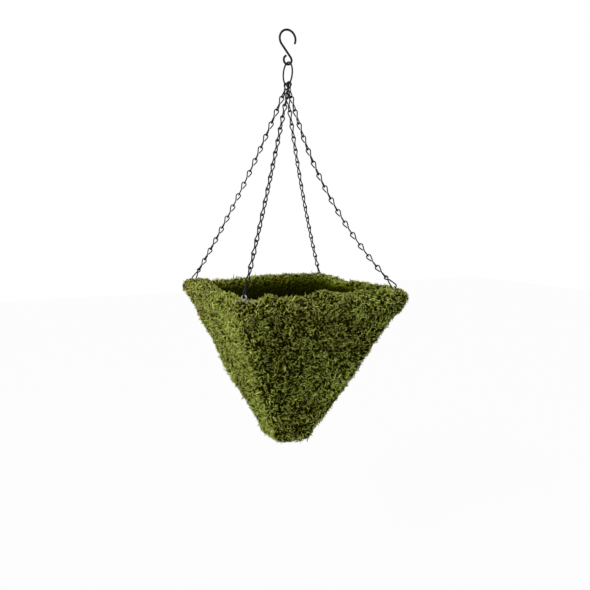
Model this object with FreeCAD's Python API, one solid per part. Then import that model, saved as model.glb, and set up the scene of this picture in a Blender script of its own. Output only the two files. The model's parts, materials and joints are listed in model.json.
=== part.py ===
"""Hanging basket: sheet moss on an inverted square pyramid of welded wire, with a plastic liner,
hung by four single-jack chains from a ring and an open hook. Millimetres, +Z up.

The origin is the inside of the hanging hook, where it bears on whatever carries it. Heights in the
basket are measured from the centre of its rim wire, and everything below that is negative.
"""

import math
import os

import FreeCAD
import Part
from FreeCAD import Rotation, Vector

# ---- Wire frame --------------------------------------------------------------------------------
RIM_SIDE = 300.0  # rim wire, centre to centre
RIM_WIRE = 4.0
RIM_BEND = 14.0  # centreline radius of the rim wire's corners
EYE_WIRE = 2.5
EYE_RADIUS = 4.0  # centreline radius of the eye that stands on each corner
FRAME_DEPTH = 280.0  # from the rim wire down to the foot of the ribs
FOOT_SIDE = 47.0  # between the ribs at the foot, centre to centre
FOOT_BEND = 8.0
RIB_WIRE = 2.5
RIBS_PER_FACE = 2
HOOP_WIRE = 2.0
HOOPS = ("hoop_upper", "hoop_middle", "hoop_lower", "hoop_foot")  # evenly spaced, the last at the foot

# ---- Moss and liner ----------------------------------------------------------------------------
MOSS_THICKNESS = 17.0
MOSS_CORNER = 14.0  # rounding of the upright corners
FOOT_PAD = 17.0
FOOT_BEVEL = 7.0
ROLL_OUT = 13.0  # from the rim wire's centre to the outside of the moss that is rolled over it
ROLL_RISE = 14.0  # above the rim wire
ROLL_DROP = 33.0  # below the rim wire
ROLL_CORNER = 18.0
ROLL_BEVEL = 9.0
LIP_THICKNESS = 8.0  # moss folded down inside the liner
LIP_DROP = 32.0
LIP_CORNER = 6.0
LIP_BEVEL = 5.0
POCKET_INWARD = 14.0  # room in the roll for a corner's eye and hook, from the eye
POCKET_OUTWARD = 6.5
POCKET_WIDTH = 13.0
LINER_WALL = 1.0
LINER_TOP = -4.0

# ---- Chain and corner hook ---------------------------------------------------------------------
RIM_HEIGHT = -476.4  # of the rim wire, from the inside of the hanging hook
LINKS = 16  # in each chain; their length is what reaches from the ring to the rim
LINK_WIRE = 2.3
LINK_WIDTH = 10.5  # outside
WAIST_GAP = 0.6  # between the two strands at a link's waist
WAIST_HALF = 2.0  # from the middle of a link to where its strands start to part
TIP_GAP = 0.9  # from the middle of a link to each cut end of its wire
CHAIN_BOWS = {  # how many degrees steeper each chain is at the ring than at the basket
    "front_left": 4.0,
    "front_right": 30.0,
    "back_left": 9.0,
    "back_right": 14.0,
}
CORNER_HOOK_WIRE = 2.5
CORNER_HOOK_LENGTH = 30.5  # outside
CORNER_HOOK_EYE = 8.8  # outside width of its small loop
CORNER_HOOK_BOW = 11.5  # outside width of its long loop
CORNER_HOOK_WAIST = 9.0  # from the top of its small loop to its waist

# ---- Ring and hanging hook ---------------------------------------------------------------------
RING_WIRE = 3.0
RING_RADIUS = 20.0
LINK_SPACING = 5.0  # between the top links, along the ring
HOOK_WIRE = 4.0
HOOK_RADIUS = 16.0
HOOK_EYE_RADIUS = 8.0
HOOK_RETURN = 40.0  # degrees that the hook turns past its back before the shank
HOOK_TIP = -25.0  # angle of the hook's open end
HOOK_EYE_TURN = 285.0  # degrees of wire in the hook's eye

# ---- Fits --------------------------------------------------------------------------------------
WIRE_GAP = 0.3  # between wires that hang in each other
LAYER_GAP = 0.3  # between moss, frame and liner
WELD_GAP = 0.05  # between wires that are welded together
MITRE_GAP = 0.2  # between neighbouring pieces of moss

# ---- Flats that stand for round wires and bends, each flat touching the true circle ------------
WIRE_FLAT_COUNT = 5  # round the section of a thin wire
HANGER_FLAT_COUNT = 8  # round the section of the ring and the hanging hook
LOOP_FLAT_COUNT = 5  # round the end of a link; an odd number, so that its end is a flat
LOOP_WRAP = 20  # degrees that a link's round end goes past its widest place
EYE_FLAT_COUNT = 8
RING_FLAT_COUNT = 24
HOOK_FLAT_COUNT = 12  # round each of the hanging hook's two bends
BEND_FLAT_COUNT = 3  # round each corner of the frame and the moss; an odd number

RIGHT = Vector(1, 0, 0)
BACK = Vector(0, 1, 0)
UP = Vector(0, 0, 1)
OBLIQUE = Vector(0.31, 0.17, 1)  # along none of the wires

CORNERS = {  # the signs of X and Y, in the order in which the chains sit on the ring
    "front_left": (-1, -1),
    "front_right": (1, -1),
    "back_left": (-1, 1),
    "back_right": (1, 1),
}
SIDES = {"front": 0, "right": 90, "back": 180, "left": 270}  # degrees about Z

# ---- Sizes that follow -------------------------------------------------------------------------
RIB_HALF = RIM_SIDE / 2 - (RIM_WIRE + RIB_WIRE) / 2 - WELD_GAP  # rib centres, at the rim
RIB_BEND = RIM_BEND - (RIM_WIRE + RIB_WIRE) / 2 - WELD_GAP
RIM_REACH = (RIM_SIDE / 2 - RIM_BEND) * math.sqrt(2) + RIM_BEND  # from the axis to a corner's eye
CORNER_SLOPE = ((RIB_HALF - FOOT_SIDE / 2) * math.sqrt(2)) / FRAME_DEPTH
LAYER_SPREAD = math.hypot(1, CORNER_SLOPE)  # level width of a layer of unit thickness, at a corner
HOOP_IN = RIB_WIRE / 2 + WELD_GAP + HOOP_WIRE / 2
LINER_IN = HOOP_IN + HOOP_WIRE / 2 + LAYER_GAP
LIP_IN = LINER_IN + LINER_WALL + LAYER_GAP
MOSS_OUT = RIB_WIRE / 2 + LAYER_GAP
EYE_TOP = RIM_WIRE / 2 + WELD_GAP + EYE_WIRE / 2 + 2 * EYE_RADIUS  # the wire that the hook pulls on
FRAME_FOOT = -FRAME_DEPTH - RIB_WIRE / 2 - LAYER_GAP

HOOK_SPAN = CORNER_HOOK_LENGTH - CORNER_HOOK_WIRE  # between the wire centres of its two ends
RING_SEAT = (RING_WIRE + LINK_WIRE) / 2 + WIRE_GAP
LINK_SEAT = (LINK_WIRE + WIRE_GAP) / 2
HOOK_SEAT = (CORNER_HOOK_WIRE + WIRE_GAP) / 2
EYE_SEAT = (EYE_WIRE + CORNER_HOOK_WIRE) / 2 + WIRE_GAP

HOOK_CENTRE = HOOK_WIRE / 2 - HOOK_RADIUS
HOOK_EYE_CENTRE = HOOK_CENTRE - (HOOK_RADIUS + HOOK_EYE_RADIUS) / math.sin(math.radians(HOOK_RETURN))
RING_CENTRE = (
    HOOK_EYE_CENTRE - HOOK_EYE_RADIUS + (HOOK_WIRE + RING_WIRE) / 2 + WIRE_GAP - RING_RADIUS
)


# ---- Wire --------------------------------------------------------------------------------------
def polar(centre, radius, degrees, across, up):
    """The point at an angle round a circle in the plane of the two directions."""
    angle = math.radians(degrees)
    return centre + across * (radius * math.cos(angle)) + up * (radius * math.sin(angle))


def arc(centre, radius, start, end, flats, across, up):
    """Corners of the flats that stand for an arc, the first and last of them on the arc's ends."""
    step = (end - start) / flats
    outside = radius / math.cos(math.radians(step / 2))
    return [polar(centre, outside, start + step * i, across, up) for i in range(flats + 1)]


def flat_wire(points, diameter, flats=WIRE_FLAT_COUNT, closed=False):
    """A wire through the points: a many-sided section, mitred where the wire turns."""
    path = Part.makePolygon(points + points[:1] if closed else points)
    along = (points[1] - points[0]).normalize()
    side = along.cross(OBLIQUE).normalize()
    other = along.cross(side)
    turns = [360 / flats * i for i in range(flats + 1)]
    section = Part.makePolygon([polar(points[0], diameter / 2, turn, side, other) for turn in turns])
    right_corners = 1
    return path.makePipeShell([section], True, False, right_corners)


def ring_wire(centre, radius, diameter, ring_flats, wire_flats, across, up):
    """A closed ring that starts and ends in the middle of its lowest flat."""
    half_step = 180 / ring_flats
    corners = arc(centre, radius, half_step - 90, 270 - half_step, ring_flats - 1, across, up)
    return flat_wire([centre - up * radius] + corners, diameter, wire_flats, closed=True)


def square_path(half, bend, height):
    """Points of a square with bent corners, from the middle of one side."""
    points = [Vector(half, 0, height)]
    half_step = 45 / (BEND_FLAT_COUNT + 1)
    for turn in (0, 90, 180, 270):
        centre = Rotation(UP, turn).multVec(Vector(half - bend, half - bend, height))
        start, end = turn + half_step, turn + 90 - half_step
        points += arc(centre, bend, start, end, BEND_FLAT_COUNT, RIGHT, BACK)
    return points


# ---- Frame -------------------------------------------------------------------------------------
def layer(height, outward):
    """Half width and corner radius of the layer that far out from the rib centres."""
    share = -height / FRAME_DEPTH
    spread = outward * LAYER_SPREAD
    half = RIB_HALF + (FOOT_SIDE / 2 - RIB_HALF) * share + spread
    bend = RIB_BEND + (FOOT_BEND - RIB_BEND) * share + spread
    return half, bend


def corner_reach(height):
    """Distance from the axis to the centre of a corner rib."""
    half, bend = layer(height, 0)
    return (half - bend) * math.sqrt(2) + bend


def diagonal(signs):
    """Level direction from the axis to a corner."""
    return Vector(signs[0], signs[1], 0).normalize()


def rim_wire():
    return flat_wire(square_path(RIM_SIDE / 2, RIM_BEND, 0), RIM_WIRE, closed=True)


def corner_eye(signs):
    outward = diagonal(signs)
    centre = outward * RIM_REACH + UP * (EYE_TOP - EYE_RADIUS)
    return ring_wire(centre, EYE_RADIUS, EYE_WIRE, EYE_FLAT_COUNT, WIRE_FLAT_COUNT, outward.cross(UP), UP)


def hoop(number):
    height = (HOOP_WIRE - FRAME_DEPTH) * (number + 1) / len(HOOPS)
    half, bend = layer(height, -HOOP_IN)
    return flat_wire(square_path(half, bend, height), HOOP_WIRE, closed=True)


def corner_rib(signs):
    outward = diagonal(signs)
    top = outward * corner_reach(0)
    foot = outward * corner_reach(-FRAME_DEPTH) - UP * FRAME_DEPTH
    return flat_wire([top, foot], RIB_WIRE)


def face_rib(side, number):
    share = 2 * (number + 1) / (RIBS_PER_FACE + 1) - 1
    ends = []
    for height in (0, -FRAME_DEPTH):
        half = layer(height, 0)[0]
        ends.append(Rotation(UP, side).multVec(Vector(share * half, -half, height)))
    return flat_wire(ends, RIB_WIRE)


# ---- Moss and liner ----------------------------------------------------------------------------
def face(points):
    return Part.Face(Part.makePolygon(points + points[:1]))


def tapered(top, foot):
    """A solid between two level outlines, each given as half width, corner radius and height."""
    upper, lower = square_path(*top)[1:], square_path(*foot)[1:]
    walls = [face([upper[i - 1], upper[i], lower[i], lower[i - 1]]) for i in range(len(upper))]
    return Part.Solid(Part.Shell(walls + [face(upper), face(lower)]))


def frustum(outward, top, foot, corner=None):
    """The inside of a layer between two heights, as one solid."""
    ends = []
    for height in (top, foot):
        half, bend = layer(height, outward)
        ends.append((half, bend if corner is None else corner, height))
    return tapered(*ends)


def is_level(edge, height):
    """Whether an edge lies at that height all along."""
    box = edge.BoundBox
    return abs(box.ZMin - height) < LAYER_GAP and abs(box.ZMax - height) < LAYER_GAP


def quarter(side):
    """The sector of space behind one side, up to its mitres."""
    far = RIM_SIDE
    points = [Vector(0, 0, 0), Vector(far, -far, 0), Vector(-far, -far, 0)]
    block = face(points).extrude(UP * 4 * far)
    block.translate(Vector(0, -MITRE_GAP / math.sqrt(2), -2 * far))
    block.rotate(Vector(0, 0, 0), UP, side)
    return block


def moss_faces():
    top = -ROLL_DROP - MITRE_GAP
    foot = FRAME_FOOT + MITRE_GAP
    outside = frustum(MOSS_OUT + MOSS_THICKNESS, top, foot, MOSS_CORNER)
    inside = frustum(MOSS_OUT, top, foot)
    return outside.cut(inside)


def moss_foot():
    top = FRAME_FOOT
    foot = FRAME_FOOT - FOOT_PAD
    pad = frustum(MOSS_OUT + MOSS_THICKNESS, top, foot, MOSS_CORNER)
    lowest = [edge for edge in pad.Edges if is_level(edge, foot)]
    return pad.makeChamfer(FOOT_BEVEL, lowest)


def pocket(signs):
    """Room in the roll round one corner's eye and hook."""
    height = ROLL_RISE + ROLL_DROP
    block = Part.makeBox(POCKET_INWARD + POCKET_OUTWARD, POCKET_WIDTH, height)
    floor = RIM_WIRE / 2 + WELD_GAP - LAYER_GAP
    block.translate(Vector(RIM_REACH - POCKET_INWARD, -POCKET_WIDTH / 2, floor))
    block.rotate(Vector(0, 0, 0), UP, math.degrees(math.atan2(signs[1], signs[0])))
    return block


def rim_roll():
    """The roll of moss over the rim, all round, with the channel that the frame sits in."""
    section = face(square_path(RIM_SIDE / 2 + ROLL_OUT, ROLL_CORNER, -ROLL_DROP)[1:])
    block = section.extrude(UP * (ROLL_RISE + ROLL_DROP))
    rims = [edge for edge in block.Edges if is_level(edge, ROLL_RISE) or is_level(edge, -ROLL_DROP)]
    block = block.makeChamfer(ROLL_BEVEL, rims)
    lip_face = -LIP_IN - LIP_THICKNESS
    mouth = frustum(lip_face, ROLL_RISE, -ROLL_DROP, LIP_CORNER)
    half = layer(ROLL_RISE, lip_face)[0]
    top = (half + LIP_BEVEL, LIP_CORNER + LIP_BEVEL, ROLL_RISE)
    flare = tapered(top, (half, LIP_CORNER, ROLL_RISE - LIP_BEVEL))
    roof = RIM_WIRE / 2 + LAYER_GAP
    channel = frustum(MOSS_OUT, roof, -ROLL_DROP).cut(frustum(-LIP_IN, roof, -LIP_DROP, LIP_CORNER))
    wire_room = RIM_WIRE + 2 * LAYER_GAP / math.cos(math.pi / WIRE_FLAT_COUNT)
    rim_room = flat_wire(square_path(RIM_SIDE / 2, RIM_BEND, 0), wire_room, closed=True)
    return block.cut([mouth, flare, channel, rim_room] + [pocket(signs) for signs in CORNERS.values()])


def liner():
    floor = -FRAME_DEPTH + LINER_WALL
    outside = frustum(-LINER_IN, LINER_TOP, -FRAME_DEPTH)
    return outside.cut(frustum(-LINER_IN - LINER_WALL, LINER_TOP, floor))


# ---- Chain -------------------------------------------------------------------------------------
def loop(width, reach, wire):
    """Across and along points of one loop of a link, from its waist round its end and back."""
    radius = (width - wire) / 2
    waist = (wire + WAIST_GAP) / 2
    corners = arc(UP * (reach - radius), radius, -LOOP_WRAP, 180 + LOOP_WRAP, LOOP_FLAT_COUNT, RIGHT, UP)
    return [(waist, WAIST_HALF)] + [(corner.x, corner.z) for corner in corners] + [(-waist, TIP_GAP)]


def two_loops(waist, along, across, turn, wire, loops):
    """One wire bent into two loops that meet at a waist, the second loop turned about its length."""
    second = Rotation(along, turn).multVec(across)
    upper, lower = [loop(width, reach, wire) for width, reach in loops]
    points = [waist + across * out - along * up for out, up in reversed(upper)]
    points += [waist + second * out + along * down for out, down in lower]
    return flat_wire(points, wire)


def link(top, along, across, span):
    return two_loops(top + along * (span / 2), along, across, 90, LINK_WIRE, [(LINK_WIDTH, span / 2)] * 2)


def corner_hook(top, along, across):
    small = CORNER_HOOK_WAIST - CORNER_HOOK_WIRE / 2
    loops = [(CORNER_HOOK_EYE, small), (CORNER_HOOK_BOW, HOOK_SPAN - small)]
    return two_loops(top + along * small, along, across, 180, CORNER_HOOK_WIRE, loops)


def bowed(bow, span):
    """A chain that sets off level and turns by the bow on its way: how far out and down it ends, and
    the length and angle of each step. The span is a link's, between the wire centres of its ends."""
    steps = [span - RING_SEAT - LINK_SEAT] + [span - 2 * LINK_SEAT] * (LINKS - 1)
    steps.append(HOOK_SPAN - HOOK_SEAT - EYE_SEAT)
    angles = [bow * (0.5 - i / (len(steps) - 1)) for i in range(len(steps))]
    out = sum(step * math.cos(angle) for step, angle in zip(steps, angles))
    down = sum(step * math.sin(angle) for step, angle in zip(steps, angles))
    return out, down, steps, angles


def span_for(chord, bow):
    """The span of the links in a bowed chain whose two ends are that far apart."""
    low, high = 0.0, chord
    for _ in range(50):
        middle = (low + high) / 2
        if math.hypot(*bowed(bow, middle)[:2]) < chord:
            low = middle
        else:
            high = middle
    return low


def chain_course(number, signs, bow):
    """The span of a chain's links, where they hang in each other, and each one's two directions."""
    turn = (number - (len(CORNERS) - 1) / 2) * LINK_SPACING / RING_RADIUS
    wire_way = Vector(0, math.cos(turn), math.sin(turn))
    start = Vector(0, RING_RADIUS * math.sin(turn), RING_CENTRE - RING_RADIUS * math.cos(turn))
    end = diagonal(signs) * RIM_REACH + UP * (RIM_HEIGHT + EYE_TOP)
    chord = end - start
    level = Vector(chord.x, chord.y, 0)
    span = span_for(chord.Length, bow)
    out, down, steps, angles = bowed(bow, span)
    slope = math.atan2(-chord.z, level.Length) - math.atan2(down, out)
    level.normalize()
    normal = level.cross(UP)
    points, directions = [start], []
    for step, angle in zip(steps, angles):
        along = level * math.cos(slope + angle) - UP * math.sin(slope + angle)
        directions.append(along)
        points.append(points[-1] + along * step)
    across = normal.cross(directions[0])
    twist = math.atan(-across.dot(wire_way) / normal.dot(wire_way))
    courses = []
    for i, (point, along) in enumerate(zip(points, directions)):
        roll = twist * (1 - i / LINKS)
        courses.append((point, along, normal.cross(along) * math.cos(roll) + normal * math.sin(roll)))
    return span, courses


def chain(number, signs, bow):
    """One chain, as its separate links, and its corner hook."""
    span, (*courses, (point, along, across)) = chain_course(number, signs, bow)
    seats = [RING_SEAT] + [LINK_SEAT] * (LINKS - 1)
    links = [link(at - way * seat, way, wide, span) for (at, way, wide), seat in zip(courses, seats)]
    return Part.makeCompound(links), corner_hook(point - along * HOOK_SEAT, along, across)


# ---- Ring and hanging hook ---------------------------------------------------------------------
def gather_ring():
    centre = UP * RING_CENTRE
    return ring_wire(centre, RING_RADIUS, RING_WIRE, RING_FLAT_COUNT, HANGER_FLAT_COUNT, BACK, UP)


def hanging_hook():
    """One wire: an open hook, a shank back to the line of the load, and a closed eye."""
    back, last = 180 + HOOK_RETURN, HOOK_RETURN - HOOK_EYE_TURN
    hook = arc(UP * HOOK_CENTRE, HOOK_RADIUS, HOOK_TIP, back, HOOK_FLAT_COUNT, RIGHT, UP)
    eye = arc(UP * HOOK_EYE_CENTRE, HOOK_EYE_RADIUS, HOOK_RETURN, last, HOOK_FLAT_COUNT, RIGHT, UP)
    return flat_wire(hook + eye, HOOK_WIRE, HANGER_FLAT_COUNT)


# ---- Files -------------------------------------------------------------------------------------
def write(shape, name, height=0.0):
    placed = shape.copy()
    placed.translate(UP * height)
    placed.exportStep(f"parts/{name}.step")


def main():
    os.makedirs("parts", exist_ok=True)
    write(hanging_hook(), "hanging_hook")
    write(gather_ring(), "gather_ring")
    for number, (corner, signs) in enumerate(CORNERS.items()):
        links, hook = chain(number, signs, math.radians(CHAIN_BOWS[corner]))
        write(links, f"chain_{corner}")
        write(hook, f"corner_hook_{corner}")
        write(corner_eye(signs), f"corner_eye_{corner}", RIM_HEIGHT)
        write(corner_rib(signs), f"corner_rib_{corner}", RIM_HEIGHT)
    write(rim_wire(), "rim_wire", RIM_HEIGHT)
    for number, name in enumerate(HOOPS):
        write(hoop(number), name, RIM_HEIGHT)
    faces, roll = moss_faces(), rim_roll()
    for side, turn in SIDES.items():
        sector = quarter(turn)
        write(faces.common(sector), f"moss_face_{side}", RIM_HEIGHT)
        write(roll.common(sector), f"moss_roll_{side}", RIM_HEIGHT)
        for number in range(RIBS_PER_FACE):
            write(face_rib(turn, number), f"face_rib_{side}_{number + 1}", RIM_HEIGHT)
    write(moss_foot(), "moss_foot", RIM_HEIGHT)
    write(liner(), "liner", RIM_HEIGHT)


main()
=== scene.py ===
"""Hanging basket of sheet moss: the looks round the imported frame. Metres, +Z up, Blender 4.5.

The moss is two things: lumpy mats, one for each piece of moss in the frame, and on them tens of
thousands of separate fronds of three families. Feathers have side branches, strands are plain, and
threads are plain too, the palest of them, and lie on top. The wires are round sweeps.
"""

import itertools
import json
import math

import bpy
import numpy as np
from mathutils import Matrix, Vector

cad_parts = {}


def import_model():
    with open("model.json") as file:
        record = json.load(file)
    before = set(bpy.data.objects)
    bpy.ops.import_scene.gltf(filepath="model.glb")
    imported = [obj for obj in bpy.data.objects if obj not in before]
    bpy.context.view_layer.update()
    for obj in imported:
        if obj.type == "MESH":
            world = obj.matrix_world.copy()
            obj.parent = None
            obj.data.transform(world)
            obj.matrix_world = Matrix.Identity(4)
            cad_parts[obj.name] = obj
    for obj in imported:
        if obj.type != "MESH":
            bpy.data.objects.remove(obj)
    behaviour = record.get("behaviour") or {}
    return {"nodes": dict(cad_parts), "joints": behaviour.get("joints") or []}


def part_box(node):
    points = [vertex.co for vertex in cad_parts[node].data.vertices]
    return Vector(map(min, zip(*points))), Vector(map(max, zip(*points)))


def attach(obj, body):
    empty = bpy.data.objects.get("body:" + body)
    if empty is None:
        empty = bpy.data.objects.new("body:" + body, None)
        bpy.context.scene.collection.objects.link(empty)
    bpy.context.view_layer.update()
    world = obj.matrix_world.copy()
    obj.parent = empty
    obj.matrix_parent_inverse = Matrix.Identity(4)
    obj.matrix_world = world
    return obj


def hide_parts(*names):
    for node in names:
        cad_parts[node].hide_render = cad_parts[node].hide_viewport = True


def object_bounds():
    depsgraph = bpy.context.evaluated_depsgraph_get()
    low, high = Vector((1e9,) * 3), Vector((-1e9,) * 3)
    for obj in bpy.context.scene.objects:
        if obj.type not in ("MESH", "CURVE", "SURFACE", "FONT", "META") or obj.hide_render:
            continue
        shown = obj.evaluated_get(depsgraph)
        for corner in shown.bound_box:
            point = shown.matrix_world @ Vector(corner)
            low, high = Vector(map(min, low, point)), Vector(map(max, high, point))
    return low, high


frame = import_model()
cad_low, cad_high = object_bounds()

MM = 0.001
RIGHT = np.array((1.0, 0.0, 0.0))
BACK = np.array((0.0, 1.0, 0.0))
UP = np.array((0.0, 0.0, 1.0))
CORNERS = {"front_left": (-1, -1), "front_right": (1, -1), "back_left": (-1, 1), "back_right": (1, 1)}
SIDES = {"front": 0, "right": 90, "back": 180, "left": 270}  # degrees about Z
JOINTS = {joint["name"]: joint for joint in frame["joints"]}

# ---- Wires, as the frame has them --------------------------------------------------------------
RIM_WIRE = 4.0 * MM
RIM_BEND = 14.0 * MM
EYE_WIRE = 2.5 * MM
LINKS = 16
LINK_WIRE = 2.3 * MM
LINK_WIDTH = 10.5 * MM
CHAIN_BOWS = {  # how many degrees steeper each chain is at the ring than at the basket
    "front_left": 4.0,
    "front_right": 30.0,
    "back_left": 9.0,
    "back_right": 14.0,
}
WAIST_GAP = 0.6 * MM  # between the two strands at a link's waist
WAIST_HALF = 2.0 * MM  # from the middle of a link to where its strands start to part
TIP_GAP = 0.9 * MM  # from the middle of a link to each cut end of its wire
CORNER_HOOK_WIRE = 2.5 * MM
CORNER_HOOK_LENGTH = 30.5 * MM
CORNER_HOOK_EYE = 8.8 * MM
CORNER_HOOK_BOW = 11.5 * MM
CORNER_HOOK_WAIST = 9.0 * MM
RING_WIRE = 3.0 * MM
HOOK_WIRE = 4.0 * MM
HOOK_RADIUS = 16.0 * MM
HOOK_EYE_RADIUS = 8.0 * MM
HOOK_RETURN = 40.0  # degrees that the hook turns past its back before the shank
HOOK_TIP = -25.0  # angle of the hook's open end
HOOK_EYE_TURN = 285.0  # degrees of wire in the hook's eye
WIRE_GAP = 0.3 * MM
LOOP_WRAP = 20.0  # degrees that a link's round end goes past its widest place

# ---- How finely the wires are swept ------------------------------------------------------------
WIRE_SIDES = 10
HANGER_SIDES = 16
LOOP_STEPS = 14  # along the round end of a link
ROUND_STEPS = 64  # along a full circle
DOME_LENGTH = 0.2  # of a wire's domed end, in the wire's diameters
DOME_RADIUS = 0.32  # of the flat that is left on it
WIRE_ASLANT = (0.31, 0.17, 1.0)  # along none of the wires

# ---- Moss mats ---------------------------------------------------------------------------------
MOSS_CORNER = 17.0 * MM
FACE_SINK = 1.0 * MM  # the mat's surface lies this far inside the frame's, and fronds fill the rest
MAT_THICKNESS = 6.0 * MM
FACE_TUCK = 8.0 * MM  # how far a face's mat goes up behind the roll
ROLL_PROFILE = [  # round the roll, out from the rim wire's centre and up from it, in millimetres
    (-23.0, -30.0),
    (-31.0, -33.0),
    (-29.0, -24.0),
    (-24.0, -10.0),
    (-17.0, 2.0),
    (-9.0, 9.0),
    (0.0, 11.0),
    (7.5, 7.5),
    (11.5, -1.0),
    (11.5, -14.0),
    (7.0, -27.0),
    (-1.0, -34.0),
    (-7.0, -20.0),
    (-15.0, -17.0),
]
ROLL_BEND_GROWTH = 0.3  # of the radius of the roll's corners, for each step outward
LEAST_ROLL_BEND = 7.0 * MM
# Where on the roll its swells set in, from the rim wire, and how far from there to their full size
TOP_PART = (-12.0 * MM, 20.0 * MM)  # upward, for a rise of the top
HEM_PART = (8.0 * MM, 15.0 * MM)  # downward, for a rise of the hem
OUTER_PART = (-6.0 * MM, 12.0 * MM)  # outward, for a reach outward
UNTUCKED_PART = (-34.0 * MM, 26.0 * MM)  # upward, for a reach outward too
# A place along the rim counts sides from the front left corner, the front first. Half widths are in
# sides too, and all else is in millimetres.
RIM_SWELLS = [  # place, half width, rise of the top, reach outward, rise of the hem
    (0.04, 0.13, -6.0, 0.0, 0.0),
    (0.15, 0.035, 6.0, 0.0, 0.0),
    (0.32, 0.08, 2.5, 0.0, 0.0),
    (0.38, 0.32, -9.0, 0.0, 0.0),
    (0.48, 0.05, 6.0, 0.0, 0.0),
    (0.75, 0.15, -5.5, 0.0, 0.0),
    (0.98, 0.13, -5.0, 6.0, -8.0),
    (1.27, 0.2, -4.0, 0.0, 0.0),
    (1.66, 0.17, -9.0, 0.0, 0.0),
    (2.35, 0.12, 1.0, 0.0, 0.0),
    (2.78, 0.17, -7.0, 0.0, 0.0),
    (3.0, 0.12, 0.0, 4.0, 8.0),
    (3.72, 0.25, -9.0, 0.0, 0.0),
]
FACE_SWELLS = [  # place, half width, depth below the rim wire, half height, reach outward
    (1.0, 0.3, 46.0, 12.0, 3.0),
    (3.0, 0.3, 42.0, 14.0, -3.0),
    (3.0, 0.35, 178.0, 45.0, 4.5),
    (3.0, 0.35, 284.0, 20.0, 2.0),
    (1.0, 0.35, 278.0, 16.0, -4.5),
]
LUMPS = [  # size, height, seed
    (60.0 * MM, 1.9 * MM, 3),
    (24.0 * MM, 1.4 * MM, 5),
    (11.0 * MM, 1.4 * MM, 7),
]
LOWEST_LUMP = -2.5 * MM
ROLL_LUMP = 1.4  # the roll's lumps against the faces'
SLOPE_STEP = 0.004  # the share of a surface over which its slope is measured, each way
FOOT_END = 0.995  # short of the foot's middle, where the pad would have no width
FOOT_ROUNDNESS = 0.5  # 1 would round the pad like a ball, 0 would leave its sides straight
FOOT_CORNER = 0.95  # the most that a corner's radius may be, in half widths of the foot
FACE_GRID = (72, 64)  # points along and down
ROLL_GRID = (96, 44)  # points along and round
FOOT_GRID = (20, 18)  # points along one side and inward
FOOT_GRID_END = 0.98  # the share of the way inward where a cap closes it
HOOK_CLEARANCE = 7.0 * MM  # how far the moss keeps from the line of a corner's hook
HOOK_ROOM_START = 4.5 * MM  # of that line, beyond the eye's wire that the hook pulls on
HOOK_ROOM_LENGTH = 60.0 * MM  # from there towards the ring

# ---- Moss fronds -------------------------------------------------------------------------------
FAMILIES = {
    "feather": {
        "branches": 5,
        "stoutness": 1.0,
        "density": 45000.0,  # in a square metre
        "lengths": (4.5, 8.5),  # millimetres
        "lift": (22.0, 22.0),  # mean and spread of the angle to the mat, degrees
        "depths": (0.5, 3.0),  # of the roots in the mat, millimetres
        "gain": -0.05,  # how much nearer to a pale tip its whole length is
    },
    "strand": {
        "branches": 0,
        "stoutness": 1.05,
        "density": 90000.0,
        "lengths": (5.0, 9.5),
        "lift": (15.0, 20.0),
        "depths": (1.5, 4.0),
        "gain": -0.35,
    },
    "thread": {
        "branches": 0,
        "stoutness": 0.8,
        "density": 70000.0,
        "lengths": (6.0, 11.0),
        "lift": (15.0, 22.0),
        "depths": (-0.8, 1.0),
        "gain": 0.6,
    },
}
FROND_SEED = 5
FROND_KINDS = 32  # shapes in a family
STEM_POINTS = 5
STEM_RADII = np.array((0.07, 0.085, 0.062))  # in lengths of the frond, as all sizes here
THICKNESSES = (0.8, 1.2)  # times the family's stoutness
STEM_TURN = (0.4, 2.8)  # radians to one side, from root to tip
STEM_NOD = (-2.2, 0.6)  # radians upward, from root to tip
STEM_RISE = 0.3  # radians from the mat at the root, less a third of the nod
BRANCH_POINTS = 3
BRANCH_RADII = np.array((0.058,))
BRANCH_START, BRANCH_STRETCH = 0.2, 0.7  # of the part of the stem that the branches share
BRANCH_SHIFT = (-0.3, 0.3)  # in spaces between two of them
BRANCH_LENGTH, BRANCH_TAPER = 0.48, 0.25  # at the stem's root, and how much less it is at the tip
BRANCH_LENGTHS = (0.7, 1.3)  # times that
BRANCH_YAW = (0.6, 1.2)  # radians away from the stem
BRANCH_PITCH = (-0.5, 0.8)  # radians up from it
BRANCH_CURL = (0.2, 1.2)  # radians back towards the stem, from root to tip
BRANCH_NOD = (-0.8, 0.6)  # radians upward, from root to tip
FROND_ASLANT = (0.12, 0.21, 1.0)  # along hardly any frond

# ---- Where and how the fronds grow -------------------------------------------------------------
ROLL_DENSER = 1.35  # the roll's fronds stand closer together than the faces'
ROLL_SEEN = (0.07, 0.81)  # shares of the way round the profile between which they grow
FACE_SEEN = (0.01, 1.0)  # and down a face
FOOT_SEEN = (0.0, 0.99)  # and in to the foot's middle
EVEN = ((0.0, 1.0), (1.0, 1.0))  # shares of that way, and how bright the fronds are there
LIP_PAINTED_SHADE = ((0.07, 0.2, 0.27, 0.33), (0.05, 0.25, 0.8, 1.0))  # painted shade: the fronds are darker deep inside the lip, where the rim's walls shade them
STRAY_SHARE = 0.02  # of the fronds without branches
STRAY_LONGER = 1.8
ROOT_SHARE = 0.2  # how far a frond is set back along itself, in its lengths
SWIRL_SIZE = 30.0 * MM  # of the areas in which fronds lie alike
SWIRL_SEEDS = (21, 22, 23)
SWIRL_DISORDER = 0.7
TUFT_SIZE, TUFT_SEED = 12.0 * MM, 31
TUFT_LONGER = 0.25
PATCH_SIZE, PATCH_SEED = 80.0 * MM, 1295  # picked for where the patches lie, front and left
TIP_PART, HEIGHT_PART = 0.35, 0.65  # how much a frond's own tips and its height make it paler; low down it is darker, partly its own dark root and partly painted shade among the fronds
FULL_HEIGHT = 5.5 * MM  # above its root, where height has its whole part
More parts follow.
